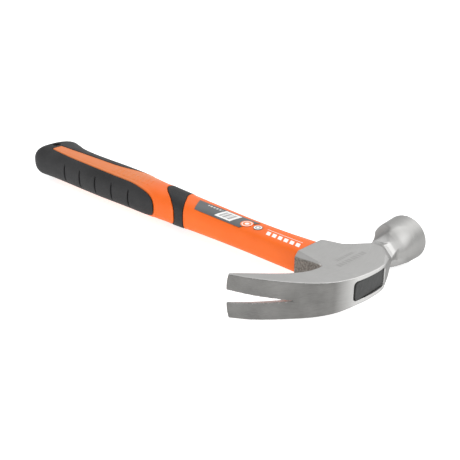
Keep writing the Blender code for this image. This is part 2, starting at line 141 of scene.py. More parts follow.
# Handle sections from butt to head, mm: x, half width to the face side, half width to the claw
# side, half thickness, and how square the section is
SECTIONS = (
    (-315.0, 30.2, 13.8, 11.8, 2.5),
    (-304.0, 28.1, 13.8, 12.0, 2.5),
    (-297.0, 26.2, 13.4, 11.8, 2.5),
    (-289.0, 23.7, 13.1, 11.7, 2.5),
    (-282.0, 22.2, 13.0, 11.7, 2.5),
    (-270.0, 20.7, 12.9, 11.8, 2.5),
    (-250.0, 19.9, 13.0, 11.9, 2.5),
    (-230.0, 20.2, 13.0, 11.8, 2.5),
    (-205.0, 20.0, 12.7, 11.3, 2.5),
    (-180.0, 16.8, 12.5, 11.0, 2.6),
    (-150.0, 14.6, 11.4, 10.0, 2.9),
    (-120.0, 13.0, 10.5, 9.2, 3.1),
    (-90.0, 11.6, 10.1, 8.6, 3.5),
    (-65.0, 11.7, 10.2, 8.3, 4.0),
    (-45.0, 13.3, 10.4, 8.2, 4.2),
)
BUTT_ROUNDING = 12.6
RUBBER = 2.2
BAND_RUBBER = 1.6
RUBBER_EDGE = 0.7
BAND_EDGE = 0.6
GRIP_END_X = -150.0
# The jacket's bare surface lies this far under the rubber's, with a bead along each rubber edge, mm
JACKET_DROP = 0.3
JACKET_EDGE = 0.3
BEAD_HEIGHT = 0.28
BEAD_PLACE = 0.95
BEAD_WIDTH = 0.5
UNDER_RUBBER_END_X = -120.0
HANG_HOLE = (-301.2, 4.2)
HANG_HOLE_RADIUS = 3.1
HANG_HOLE_EDGE = 0.9
HEAD_END_X = -45.5
CORE_HALF = (8.4, 3.9)
CORE_CORNER = 2.6
CORE_END_X = -290.0
GROOVE_FIRST_X = -269.2
GROOVE_PITCH = 18.4
GROOVE_COUNT = 5
GROOVE_HALF_WIDTH = 0.6
GROOVE_DEPTH = 1.6
GROOVE_EDGE = 0.35
RIB_FIRST_X = -222.0
RIB_PITCH = 5.2
RIB_COUNT = 8
RIB_HALF_WIDTH = 1.5
RIB_MIDDLE_Y = 0.8
RIB_HALF_LENGTH = 4.0
RIB_HEIGHT = 0.28
RIB_SLANT = 0.35
RIB_FLANK = 0.6
PAD_CLAW_EDGE = ((-295.6, -3.8), (-281.0, -5.0), (-260.0, -6.1), (-225.0, -6.6), (-200.0, -6.4),
                 (-188.0, -7.7), (-179.0, -9.1), (-173.5, -10.4), (-170.0, -11.6), (-168.5, -12.8),
                 (-168.0, -20.0))
PAD_FACE_EDGE = ((-186.0, 26.0), (-196.0, 20.0), (-206.0, 14.6), (-217.0, 9.8), (-230.0, 6.8),
                 (-255.0, 6.0), (-280.0, 5.7), (-295.6, 5.2))
BAND_LEFT = ((-173.0, 30.0), (-173.2, 9.0), (-168.4, 1.3), (-154.6, -8.0), (-146.9, -14.0),
             (-146.5, -30.0))
BAND_RIGHT = ((-140.3, -30.0), (-140.9, -13.0), (-145.8, -4.0), (-152.7, 7.4), (-155.2, 30.0))
LABEL_CORNERS = ((-140.0, 4.4), (-133.8, -7.0), (-94.0, -7.0), (-87.0, 5.0))
BADGE_CENTRE = (-92.7, -1.1)
BADGE_RADIUS = 3.8
ROUND_LABEL_CENTRE = (-84.0, -0.6)
ROUND_LABEL_RADIUS = 2.9
FILM_GAP = 0.15
FILM_SEAT = 0.6

# Camera, mm and degrees
CAMERA_PLACE = (213.30, -342.55, 216.08)
CAMERA_PITCH = 24.81
CAMERA_YAW = 133.21
CAMERA_ROLL = -0.10
CAMERA_LENS = 62.61


# ---------------------------------------------------------------- curves

def smooth_line(points, steps):
    """Points on a smooth line through the given ones, with steps pieces between each two."""
    pts = [Vector(p) for p in points]
    pts = [pts[0] * 2 - pts[1]] + pts + [pts[-1] * 2 - pts[-2]]
    line = []
    for a, b, c, d in zip(pts, pts[1:], pts[2:], pts[3:]):
        for k in range(steps):
            t = k / steps
            line.append(0.5 * (2 * b + (c - a) * t + (2 * a - 5 * b + 4 * c - d) * t**2
                               + (3 * b - a - 3 * c + d) * t**3))
    line.append(pts[-2])
    return [tuple(p) for p in line]


def smooth_value(rows, at, column):
    """Read one column of a table of rows at many places, on a smooth curve."""
    table = np.array(rows, float)
    xs = table[:, 0]
    vs = table[:, column]
    slopes = np.gradient(vs, xs)
    i = np.clip(np.searchsorted(xs, at) - 1, 0, len(xs) - 2)
    span = xs[i + 1] - xs[i]
    t = np.clip((at - xs[i]) / span, 0.0, 1.0)
    rise = (3 - 2 * t) * t**2
    return (vs[i] * (1 - rise) + vs[i + 1] * rise
            + span * (slopes[i] * (t**3 - 2 * t**2 + t) + slopes[i + 1] * (t**3 - t**2)))


def arc(centre, radius, count):
    """Points evenly round a circle."""
    turns = np.linspace(0, 2 * math.pi, count, endpoint=False)
    return [(centre[0] + radius * math.cos(a), centre[1] + radius * math.sin(a)) for a in turns]


# ---------------------------------------------------------------- distance fields, mm

def outline_distance(outline, a, b):
    """Distance in a plane to a closed line, below zero inside it."""
    a, b = np.broadcast_arrays(a, b)
    nearest = np.full(a.shape, 1e9)
    inside = np.zeros(a.shape, bool)
    for (a0, b0), (a1, b1) in zip(outline, outline[1:] + outline[:1]):
        ea = a1 - a0
        eb = b1 - b0
        t = np.clip(((a - a0) * ea + (b - b0) * eb) / (ea * ea + eb * eb), 0, 1)
        nearest = np.minimum(nearest, (a - a0 - ea * t)**2 + (b - b0 - eb * t)**2)
        if eb:
            inside ^= ((b0 > b) != (b1 > b)) & (a < a0 + (b - b0) * ea / eb)
    return np.where(inside, -1, 1) * np.sqrt(nearest)


def line_distance(line, a, b):
    """Distance in a plane to an open line."""
    nearest = np.full(np.broadcast(a, b).shape, 1e9)
    for (a0, b0), (a1, b1) in zip(line, line[1:]):
        ea = a1 - a0
        eb = b1 - b0
        t = np.clip(((a - a0) * ea + (b - b0) * eb) / (ea * ea + eb * eb), 0, 1)
        nearest = np.minimum(nearest, (a - a0 - ea * t)**2 + (b - b0 - eb * t)**2)
    return np.sqrt(nearest)


def meet(a, b, edge):
    """What lies in both, with the edge between them rounded to a radius."""
    round_off = np.sqrt(np.maximum(a + edge, 0)**2 + np.maximum(b + edge, 0)**2)
    return np.minimum(-edge, np.maximum(a, b)) + round_off


def join(a, b, fillet):
    """What lies in either, with a fillet of a radius in the corner between them."""
    fill = np.sqrt(np.maximum(fillet - a, 0)**2 + np.maximum(fillet - b, 0)**2)
    return np.maximum(fillet, np.minimum(a, b)) - fill


def above_table(value, rows, at):
    """Distance outside a line given as a table of value against at."""
    xs, vs = np.array(rows, float).T
    slope = np.interp(at, xs, np.gradient(vs, xs))
    return (value - np.interp(at, xs, vs)) / np.sqrt(1 + slope**2)


def rounded_box(a, b, half_a, half_b, corner):
    """Distance in a plane to a rectangle with round corners."""
    da = np.abs(a) - half_a + corner
    db = np.abs(b) - half_b + corner
    outside = np.sqrt(np.maximum(da, 0)**2 + np.maximum(db, 0)**2)
    return outside + np.minimum(np.maximum(da, db), 0) - corner


HEAD_OUTER = smooth_line(CLAW_OUTSIDE, 14)
HEAD_INNER = smooth_line(CLAW_INSIDE, 6) + list(CROTCH) + [SKIRT[0], SKIRT[1]]
HEAD_SIDE = (HEAD_OUTER + HEAD_INNER + [SKIRT[2]] + smooth_line(THROAT, 4)
             + [(-28.9, 46.0), (-8.5, 46.0)] + smooth_line(CROWN, 4))


def slot_reach(x, y):
    """How far along the claws a point is from the closed end of the nail slot."""
    dx = SLOT_TIP[0] - SLOT_APEX[0]
    dy = SLOT_TIP[1] - SLOT_APEX[1]
    length = math.hypot(dx, dy)
    return ((x - SLOT_APEX[0]) * dx + (y - SLOT_APEX[1]) * dy) / length, length


def eye_field(x, y, z, shrink=0.0):
    """Tapered hole for the handle, below zero inside it."""
    half_y = np.interp(x, *np.array(EYE_HALF_Y).T) - shrink
    half_z = np.interp(x, *np.array(EYE_HALF_Z).T) - shrink
    centre = EYE_CENTRE_Y + np.interp(x, *np.array(EYE_SHIFT_Y).T)
    return rounded_box(y - centre, z, half_y, half_z, EYE_CORNER)


def tips_field(x, y, thick):
    """Below zero short of the claws' tips, which slant back away from the slot."""
    reach, length = slot_reach(x, y)
    slant = TIP_SLANT * (np.maximum(thick - SLOT_HALF_GAP, 0) / TIP_WIDTH)**2
    return reach - length + slant - TIP_PROUD


def slot_field(x, y, thick):
    """Nail slot, above zero inside it: it tapers to its closed end and widens into its depth."""
    reach, length = slot_reach(x, y)
    taper = SLOT_HALF_GAP / length
    depth = line_distance(HEAD_OUTER, x, y)
    bevelled = np.clip((reach - SLOT_END) / SLOT_BEVEL_RUN, 0, 1)
    bevel = SLOT_BEVEL * np.maximum(depth - SLOT_LIP, 0) * bevelled
    gap = (taper * reach + bevel - thick) / math.hypot(1, SLOT_BEVEL)
    return np.minimum(np.minimum(gap, -SLOT_LIMIT_Y - y), reach - SLOT_END)


def skirt_corner_field(x, y, thick):
    """What the chamfer takes off the skirt's corners on the claw side, above zero there."""
    chamfer = np.interp(x, *np.array(SKIRT_CHAMFER).T)
    corner = (-y + thick - (SKIRT_HALF_Y + SKIRT_HALF_Z) + chamfer) / ROOT_2
    off_skirt = np.maximum(x - SKIRT_TOP_X, SKIRT_FAR_Y - y)
    return np.minimum(corner, -off_skirt)


def head_field(x, y, z):
    """Forged head: side view and thickness, bell and poll, flats of the neck, then what is cut out."""
    thick = np.abs(z)
    across = x - POLL_AXIS_X
    off_axis = across**2 + z**2
    body = meet(outline_distance(HEAD_SIDE, x, y), above_table(thick, THICKNESS, y), CHEEK_EDGE)
    bell = above_table(np.sqrt(off_axis), BELL, y)
    bell = meet(bell, y - (FACE_Y - FACE_CROWNING * off_axis), FACE_EDGE)
    head = join(body, bell, BELL_FILLET)
    crown_edge = np.interp(y, *np.array(CROWN_FLAT_EDGE).T)
    head = meet(head, above_table((across + thick) / ROOT_2, CROWN_FLATS, y), crown_edge)
    head = meet(head, above_table((thick - across) / ROOT_2, THROAT_FLATS, y), THROAT_FLAT_EDGE)
    head = meet(head, above_table(-across, THROAT_RUN_OUT, y), RUN_OUT_EDGE)
    head = meet(head, tips_field(x, y, thick), TIP_EDGE)
    head = meet(head, slot_field(x, y, thick), SLOT_EDGE)
    head = meet(head, skirt_corner_field(x, y, thick), SKIRT_EDGE)
    return meet(head, -eye_field(x, y, z), EYE_EDGE)


def handle_field(x, y, z):
    """Outer surface of the whole handle."""
    face, claw, thick, square = [smooth_value(SECTIONS, x, c) for c in (1, 2, 3, 4)]
    wide = np.where(y > 0, face, claw)
    part_y = np.abs(y / wide)
    part_z = np.abs(z / thick)
    size = np.maximum(part_y**square + part_z**square, 1e-4)
    level = size**(1 / square)
    slope_y = part_y**(square - 1) / wide
    slope_z = part_z**(square - 1) / thick
    slope = level / size * np.sqrt(slope_y**2 + slope_z**2)
    return meet((level - 1) / np.maximum(slope, 0.02), BUTT_X - x, BUTT_ROUNDING)


def window_line():
    """Outline of the orange that the rubber grip leaves bare, run on past the skirt."""
    end = HEAD_END_X + 20.0
    return smooth_line(PAD_CLAW_EDGE, 4) + [(end, -30.0), (end, 30.0)] + smooth_line(PAD_FACE_EDGE, 4)


WINDOW = window_line()
BAND = smooth_line(BAND_LEFT, 5) + smooth_line(BAND_RIGHT, 5)


def hole_field(x, y):
    """Hang hole, above zero inside it."""
    return HANG_HOLE_RADIUS - np.hypot(x - HANG_HOLE[0], y - HANG_HOLE[1])


def label_outline(x, y):
    """Distance to the printed strip with its round badge."""
    strip = outline_distance(list(LABEL_CORNERS), x, y)
    return np.minimum(strip, np.hypot(x - BADGE_CENTRE[0], y - BADGE_CENTRE[1]) - BADGE_RADIUS)


def rib_height(x, y):
    """Height of the slanted bars raised on the orange strip."""
    slant = (x + RIB_SLANT * y - RIB_FIRST_X) / RIB_PITCH
    nearest = np.clip(np.round(slant), 0, RIB_COUNT - 1)
    beside = np.abs(slant - nearest) * RIB_PITCH - RIB_HALF_WIDTH
    beyond = np.abs(y - RIB_MIDDLE_Y) - RIB_HALF_LENGTH
    return RIB_HEIGHT * np.clip(0.5 - np.maximum(beside, beyond) / RIB_FLANK, 0, 1)


def jacket_field(x, y, z):
    """Orange jacket: bare surface, body under the rubber, film seats, rod's passage and hang hole."""
    handle = handle_field(x, y, z)
    window = outline_distance(WINDOW, x, y)
    band = outline_distance(BAND, x, y)
    edge = np.minimum(-window, band)
    bead = BEAD_HEIGHT * np.exp(-((edge - BEAD_PLACE) / BEAD_WIDTH)**2)
    rib = rib_height(x, y) * (z > 0)
    bare = meet(handle + JACKET_DROP - bead - rib, window + TOUCH, 0.35)
    band_seat = np.maximum(band - TOUCH, -(handle + BAND_RUBBER + TOUCH))
    bare = meet(bare, -band_seat, JACKET_EDGE)
    inner = np.maximum(handle + RUBBER + TOUCH, x - UNDER_RUBBER_END_X)
    jacket = join(bare, inner, JACKET_EDGE)
    round_label = np.hypot(x - ROUND_LABEL_CENTRE[0], y - ROUND_LABEL_CENTRE[1]) - ROUND_LABEL_RADIUS
    for film in (label_outline(x, y), round_label):
        seat = np.maximum(film - FILM_GAP, -(handle + FILM_SEAT))
        jacket = np.maximum(jacket, -np.maximum(seat, -z))
    jacket = meet(jacket, x - (HEAD_END_X - TOUCH), JACKET_EDGE)
    passage = rounded_box(y - EYE_CENTRE_Y, z, CORE_HALF[0] + TOUCH, CORE_HALF[1] + TOUCH, CORE_CORNER)
    jacket = np.maximum(jacket, -np.maximum(passage, CORE_END_X - TOUCH - x))
    return meet(jacket, hole_field(x, y), JACKET_EDGE)


def grip_field(x, y, z):
    """Rubber grip round the butt, with its two pads and the grooves across the claw side."""
    handle = handle_field(x, y, z)
    grip = np.maximum(handle, -(handle + RUBBER))
    grip = meet(grip, -outline_distance(WINDOW, x, y), RUBBER_EDGE)
    claw = smooth_value(SECTIONS, x, 2)
    phase = (x - GROOVE_FIRST_X) / GROOVE_PITCH
    nearest = np.clip(np.round(phase), 0, GROOVE_COUNT - 1)
    beside = np.abs(phase - nearest) * GROOVE_PITCH - GROOVE_HALF_WIDTH
    grip = meet(grip, -np.maximum(beside, y + claw - GROOVE_DEPTH), GROOVE_EDGE)
    grip = np.maximum(grip, x - GRIP_END_X)
    return meet(grip, hole_field(x, y), HANG_HOLE_EDGE)


def band_field(x, y, z):
    """Rubber band round the shaft."""
    handle = handle_field(x, y, z)
    band = np.maximum(handle, -(handle + BAND_RUBBER))
    return meet(band, outline_distance(BAND, x, y), BAND_EDGE)


def plug_field(x, y, z):
    """Plug in the top of the eye, slightly crowned."""
    top = PLUG_TOP_X - PLUG_CROWNING * (y - EYE_CENTRE_Y)**2
    return meet(meet(eye_field(x, y, z, TOUCH), x - top, 0.5), PLUG_BOTTOM_X - x, 0.3)


# ---------------------------------------------------------------- meshes

def surface_net(field, low, high, pitch):
    """Vertices, quads and normals of the closed surface where the field is zero."""
    axes = [np.arange(a - p, b + 2 * p, p) for a, b, p in zip(low, high, pitch)]
    origin = np.array([a[0] for a in axes])
    values = field(axes[0][:, None, None], axes[1][None, :, None], axes[2][None, None, :])
    inside = values < 0
    cells = np.array(values.shape)
    where = []
    points = []
    quads = []
    for axis in range(3):
        lower = np.take(inside, range(cells[axis] - 1), axis)
        upper = np.take(inside, range(1, cells[axis]), axis)
        index = np.argwhere(lower != upper)
        step = np.eye(3, dtype=int)[axis]
        u = np.eye(3, dtype=int)[(axis + 1) % 3]
        v = np.eye(3, dtype=int)[(axis + 2) % 3]
        first = values[tuple(index.T)]
        second = values[tuple((index + step).T)]
        crossing = index + step * (first / (first - second))[:, None]
        around = [np.ravel_multi_index((index - move).T, cells) for move in (0 * u, u, u + v, v)]
        quad = np.stack(around, 1)
        flip = first >= 0
        quad[flip] = quad[flip, ::-1]
        quads.append(quad)
        where += around
        points += [crossing] * 4
    where = np.concatenate(where)
    points = np.concatenate(points)
    used, slot_of = np.unique(where, return_inverse=True)
    count = np.bincount(slot_of)
    vertices = np.stack([np.bincount(slot_of, points[:, k]) / count for k in range(3)], 1)
    vertices = origin + vertices * np.array(pitch)
    quads = np.searchsorted(used, np.concatenate(quads))
    for _ in range(2):
        value, slope = field_slope(field, vertices)
        shift = -value[:, None] * slope / np.maximum((slope**2).sum(1), 0.05)[:, None]
        limit = 0.6 * min(pitch)
        length = np.maximum(np.linalg.norm(shift, axis=1), 1e-9)
        vertices = vertices + shift * np.minimum(1, limit / length)[:, None]
    slope = field_slope(field, vertices)[1]
    return vertices, quads, slope / np.maximum(np.linalg.norm(slope, axis=1), 1e-9)[:, None]


def field_slope(field, points, step=0.06):
    """Value and slope of the field at points, from four samples round each."""
    corners = np.array(((1, 1, 1), (1, -1, -1), (-1, 1, -1), (-1, -1, 1)), float)
    samples = [field(*(points + step * c).T) for c in corners]
    slope = sum(s[:, None] * c for s, c in zip(samples, corners)) / (4 * step)
    return sum(samples) / 4, slope


def new_piece(name, vertices, faces, material, node):
    """A visible piece in the row frame, riding on the hammer in place of its CAD node."""
    mesh = bpy.data.meshes.new(name)
    mesh.from_pydata(((vertices + SHIFT) * MM).tolist(), [], faces)
    mesh.materials.append(material)
    piece = bpy.data.objects.new(name, mesh)
    bpy.context.scene.collection.objects.link(piece)
    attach(piece, "root")
    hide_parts(node)
    return piece


def net_piece(name, field, low, high, pitch, material, node):
    """A smooth piece meshed from its field, shaded with the field's own normals."""
    vertices, quads, normals = surface_net(field, low, high, pitch)
    piece = new_piece(name, vertices, quads.tolist(), material, node)
    piece.data.shade_smooth()
    piece.data.normals_split_custom_set_from_vertices(normals.tolist())
    return piece


def skin_height(x, y):
    """Height of the handle's upper surface over a point of its middle plane."""
    face, claw, thick, square = [smooth_value(SECTIONS, x, c) for c in (1, 2, 3, 4)]
    wide = np.where(y > 0, face, claw)
    return thick * (1 - np.abs(y / wide)**square)**(1 / square)


def film_piece(name, outline, material, node, pitch=0.8, top=-0.05, thick=0.3):
    """Thin film lying on the handle, cut to an outline."""
    edge = []
    for (ax, ay), (bx, by) in zip(outline, outline[1:] + outline[:1]):
        steps = max(1, round(math.hypot(bx - ax, by - ay) / pitch))
        edge += [(ax + (bx - ax) * k / steps, ay + (by - ay) * k / steps) for k in range(steps)]
    xs, ys = np.array(outline).T
    columns = np.arange(xs.min(), xs.max(), pitch)
    rows = np.arange(ys.min(), ys.max(), pitch)
    grid = np.array([(x, y) for x in columns for y in rows])
    grid = grid[outline_distance(outline, grid[:, 0], grid[:, 1]) < -0.4 * pitch]
    flat = [Vector(p) for p in edge] + [Vector(p) for p in grid]
    loop = list(range(len(edge)))
    flat, _, faces, _, _, _ = delaunay_2d_cdt(flat, [], [loop], 1, 1e-5)
    flat = np.array([tuple(p) for p in flat])
    height = skin_height(flat[:, 0], flat[:, 1])
    count = len(flat)
    upper = np.column_stack((flat, height + top))
    lower = np.column_stack((flat, height + top - thick))
    sides = [(a, b, b + count, a + count) for a, b in zip(loop[1:] + loop[:1], loop)]
    faces = [tuple(f) for f in faces]
    faces += [tuple(count + i for i in reversed(f)) for f in faces]
    return new_piece(name, np.vstack((upper, lower)), faces + sides, material, node)


# ---------------------------------------------------------------- materials

PRINT_EDGE = 0.06
# Added to a coordinate before it is cut into stripes, so that none is below zero, mm
ABOVE_ZERO = 500.0


class Paint:
    """One material, built from short calls that each add a node."""

    def __init__(self, name, colour, roughness, metallic=0.0):
        self.material = bpy.data.materials.new(name)
        self.material.use_nodes = True
        self.tree = self.material.node_tree
        self.shader = self.tree.nodes["Principled BSDF"]
        self.put(self.shader.inputs["Base Color"], (*colour, 1.0))
        self.put(self.shader.inputs["Roughness"], roughness)
        self.put(self.shader.inputs["Metallic"], metallic)
        self.place = self.tree.nodes.new("ShaderNodeTexCoord").outputs["Object"]

    def put(self, socket, value):
        if isinstance(value, bpy.types.NodeSocket):
            self.tree.links.new(value, socket)
        else:
            socket.default_value = value

    def set(self, name, value):
        self.put(self.shader.inputs[name], value)

    def calc(self, operation, *values):
        node = self.tree.nodes.new("ShaderNodeMath")
        node.operation = operation
        for socket, value in zip(node.inputs, values):
            self.put(socket, value)
        return node.outputs[0]

    def axes(self):
        """Design x, y and z in mm."""
        split = self.tree.nodes.new("ShaderNodeSeparateXYZ")
        self.put(split.inputs[0], self.place)
        return [self.calc("SUBTRACT", self.calc("DIVIDE", out, MM), float(shift))
                for out, shift in zip(split.outputs, SHIFT)]

    def pack(self, x, y, z):
        node = self.tree.nodes.new("ShaderNodeCombineXYZ")
        for socket, value in zip(node.inputs, (x, y, z)):
            self.put(socket, value)
        return node.outputs[0]

    def stretch(self, parts, factors):
        """A vector of three values, each times its own factor."""
        return self.pack(*[self.calc("MULTIPLY", part, f) for part, f in zip(parts, factors)])

    def noise(self, vector, scale, detail=3.0, roughness=0.55):
        node = self.tree.nodes.new("ShaderNodeTexNoise")
        self.put(node.inputs["Vector"], vector)
        self.put(node.inputs["Scale"], scale)
        self.put(node.inputs["Detail"], detail)
        self.put(node.inputs["Roughness"], roughness)
        return node.outputs["Fac"]

    def within(self, value, middle, half_width, soft=0.1):
        """One within half a width of the middle, falling to zero over a soft edge."""
        away = self.calc("ABSOLUTE", self.calc("SUBTRACT", value, middle))
        return self.remap(away, half_width, half_width + soft, 1.0, 0.0)

    def patch(self, a, b, centre, half):
        """One inside a rectangle, zero outside it."""
        return self.calc("MULTIPLY", self.within(a, centre[0], half[0]), self.within(b, centre[1], half[1]))

    def stripes(self, value, pitch, half_width, soft=0.04):
        """One on even stripes of a value, zero between them; widths are shares of the pitch."""
        wave = self.calc("FRACT", self.calc("DIVIDE", self.calc("ADD", value, ABOVE_ZERO), pitch))
        return self.within(wave, 0.5, half_width, soft)

    def ring(self, x, y, centre, inner, outer):
        """One inside a ring about a centre, zero elsewhere."""
        dx = self.calc("SUBTRACT", x, centre[0])
        dy = self.calc("SUBTRACT", y, centre[1])
        square = self.calc("ADD", self.calc("MULTIPLY", dx, dx), self.calc("MULTIPLY", dy, dy))
        away = self.calc("SQRT", square)
        outside = self.remap(away, outer - PRINT_EDGE, outer + PRINT_EDGE, 1.0, 0.0)
        if not inner:
            return outside
        hole = self.remap(away, inner - PRINT_EDGE, inner + PRINT_EDGE, 0.0, 1.0)
        return self.calc("MULTIPLY", outside, hole)

    def remap(self, value, low, high, to_low, to_high, smooth=False):
        node = self.tree.nodes.new("ShaderNodeMapRange")
        node.interpolation_type = "SMOOTHSTEP" if smooth else "LINEAR"
        for socket, v in zip(node.inputs, (value, low, high, to_low, to_high)):
            self.put(socket, v)
        return node.outputs[0]

    def mix(self, factor, a, b):
        node = self.tree.nodes.new("ShaderNodeMix")
        node.data_type = "RGBA"
        self.put(node.inputs["Factor"], factor)
        for socket, value in ((node.inputs[6], a), (node.inputs[7], b)):
            self.put(socket, (*value, 1.0) if isinstance(value, tuple) else value)
        return node.outputs[2]

    def attribute(self, name):
        node = self.tree.nodes.new("ShaderNodeAttribute")
        node.attribute_name = name
        return node.outputs["Fac"]

    def bump(self, height, depth, strength=1.0):
        """Fine relief: depth is in mm for a height that runs from 0 to 1."""
        node = self.tree.nodes.new("ShaderNodeBump")
        node.inputs["Strength"].default_value = strength
        node.inputs["Distance"].default_value = depth * MM
        self.put(node.inputs["Height"], height)
        self.put(self.shader.inputs["Normal"], node.outputs[0])


# Middle of the arc that the claws' brushing follows, mm
CLAW_SWEEP_X = -62.0


def steel_paint():
    """Brushed forged steel: lengthwise on the claws and cheeks, turned rings on the poll, with a darker
    copy of it laid on as painted shade.
    """
    p = Paint("head_steel", (0.6, 0.6, 0.59), 0.36, 1.0)
    x, y, z = p.axes()
    dx = p.calc("SUBTRACT", x, CLAW_SWEEP_X)
    radius = p.calc("SQRT", p.calc("ADD", p.calc("MULTIPLY", dx, dx), p.calc("MULTIPLY", y, y)))
    turn = p.calc("ARCTAN2", y, dx)
    lengthwise = p.noise(p.stretch((radius, turn, z), (3.2, 4.0, 3.2)), 1.0, 4.0, 0.65)
    rings = p.noise(p.stretch((x, y, z), (0.05, 5.0, 0.05)), 1.0, 3.0, 0.6)
    on_poll = p.remap(y, 47.0, 51.0, 0.0, 1.0, True)
    off_poll = p.calc("SUBTRACT", 1.0, on_poll)
    brush = p.calc("ADD", p.calc("MULTIPLY", lengthwise, off_poll), p.calc("MULTIPLY", rings, on_poll))
    cloud = p.noise(p.place, 60.0, 3.0)
    raw = p.attribute("raw")
    painted_shade = p.attribute("painted_shade")
    stamp = p.attribute("stamp")
    grain = p.noise(p.place, 900.0, 3.0, 0.7)
    streak = p.remap(brush, 0.3, 0.7, 0.0, 1.0)
    bright = p.mix(streak, (0.50, 0.498, 0.49), (0.58, 0.577, 0.57))
    # Darker copy of the steel: painted shade on the claws' outsides, the poll, the cheeks, the skirt
    # chamfer and the crown rim.
    shaded_steel = p.mix(streak, (0.125, 0.123, 0.118), (0.18, 0.178, 0.172))
    polished = p.mix(painted_shade, bright, shaded_steel)
    polished = p.mix(p.remap(cloud, 0.35, 0.7, 0.0, 0.22), polished, (0.42, 0.415, 0.40))
    polished = p.mix(p.calc("MULTIPLY", stamp, 0.32), polished, (0.27, 0.265, 0.26))
    scale = p.mix(p.remap(grain, 0.35, 0.65, 0.0, 1.0), (0.12, 0.107, 0.094), (0.27, 0.25, 0.228))
    p.set("Base Color", p.mix(raw, polished, scale))
    rough = p.calc("ADD", p.remap(brush, 0.3, 0.7, 0.34, 0.46), p.calc("MULTIPLY", raw, 0.2))
    p.set("Roughness", rough)
    p.set("Specular Tint", (0.55, 0.55, 0.55, 1.0))
    ridges = p.calc("MULTIPLY", brush, p.calc("SUBTRACT", 1.0, raw))
    pits = p.calc("MULTIPLY", grain, p.calc("MULTIPLY", raw, 3.0))
    p.bump(p.calc("SUBTRACT", p.calc("ADD", ridges, pits), p.calc("MULTIPLY", stamp, 2.0)), 0.02)
    return p.material


# Row of slanted bars printed on the shaft near the head, mm
MARK_SLANT = 0.45
MARK_PHASE = 83.2
MARK_PITCH = 4.6
MARK_MIDDLE_X = -63.4


def orange_paint():
    """Moulded orange plastic with a half gloss and a plain printed mark, paler towards the butt where a
    sheen is painted in.
    """
    p = Paint("jacket_plastic", (0.86, 0.15, 0.012), 0.42)
    x, y, z = p.axes()
    cloud = p.noise(p.place, 35.0, 3.0)
    colour = p.mix(p.remap(cloud, 0.3, 0.7, 0.0, 1.0), (0.77, 0.12, 0.006), (0.84, 0.143, 0.011))
    # Painted sheen: the orange turns paler and duller from x = -165 mm, fully so from -205 mm to the butt.
    colour = p.mix(p.remap(x, -205.0, -165.0, 1.0, 0.0, True), colour, (0.66, 0.185, 0.052))
    slant = p.calc("ADD", x, p.calc("MULTIPLY", y, MARK_SLANT))
    bars = p.stripes(p.calc("ADD", slant, MARK_PHASE), MARK_PITCH, 0.3)
    across = p.within(y, -2.2, 2.0)
    length = p.within(slant, MARK_MIDDLE_X, 13.7, 0.2)
    line = p.within(y, 1.9, 0.16, PRINT_EDGE)
    print_area = p.calc("MAXIMUM", p.calc("MULTIPLY", bars, across), line)
    upper = p.remap(z, 2.0, 3.0, 0.0, 1.0)
    printed = p.calc("MULTIPLY", p.calc("MULTIPLY", print_area, length), upper)
    p.set("Base Color", p.mix(printed, colour, (0.85, 0.84, 0.82)))
    fine = p.noise(p.place, 1400.0, 2.0, 0.6)
    p.set("Roughness", p.remap(p.noise(p.place, 90.0, 4.0), 0.3, 0.7, 0.36, 0.46))
    p.set("Specular IOR Level", 0.24)
    p.bump(fine, 0.012)
    return p.material


def rubber_paint(name):
    """Matt moulded rubber with a fine grain and dusty wear."""
    p = Paint(name, (0.035, 0.035, 0.036), 0.62)
    dust = p.noise(p.place, 55.0, 4.0)
    grain = p.noise(p.place, 1500.0, 3.0, 0.7)
    dark = p.mix(p.remap(dust, 0.35, 0.7, 0.0, 1.0), (0.013, 0.013, 0.014), (0.024, 0.024, 0.025))
    p.set("Base Color", dark)
    p.set("Specular IOR Level", 0.3)
    p.set("Roughness", p.remap(grain, 0.3, 0.7, 0.55, 0.72))
    p.bump(grain, 0.06)
    return p.material


def plug_paint():
    """Dark cast rubber with a pitted, dusty top."""
    p = Paint("plug_rubber", (0.04, 0.041, 0.041), 0.5)
    p.set("Specular IOR Level", 0.3)
    cloud = p.noise(p.place, 260.0, 4.0, 0.6)
    dusty = p.remap(cloud, 0.35, 0.65, 0.0, 1.0)
    p.set("Base Color", p.mix(dusty, (0.018, 0.019, 0.019), (0.042, 0.043, 0.042)))
    p.set("Roughness", p.remap(cloud, 0.3, 0.7, 0.4, 0.6))
    p.bump(cloud, 0.25)
    return p.material


# Printed strip: its white field, the bars in it and the row of dashes, centre and half size, mm
LABEL_SLANT = 0.22
LABEL_FIELD = ((-109.2, -0.8), (6.85, 4.75))
LABEL_BARS = ((-109.2, -0.9), (5.5, 3.4))
LABEL_DASHES = ((-123.3, 2.1), (6.4, 0.75))


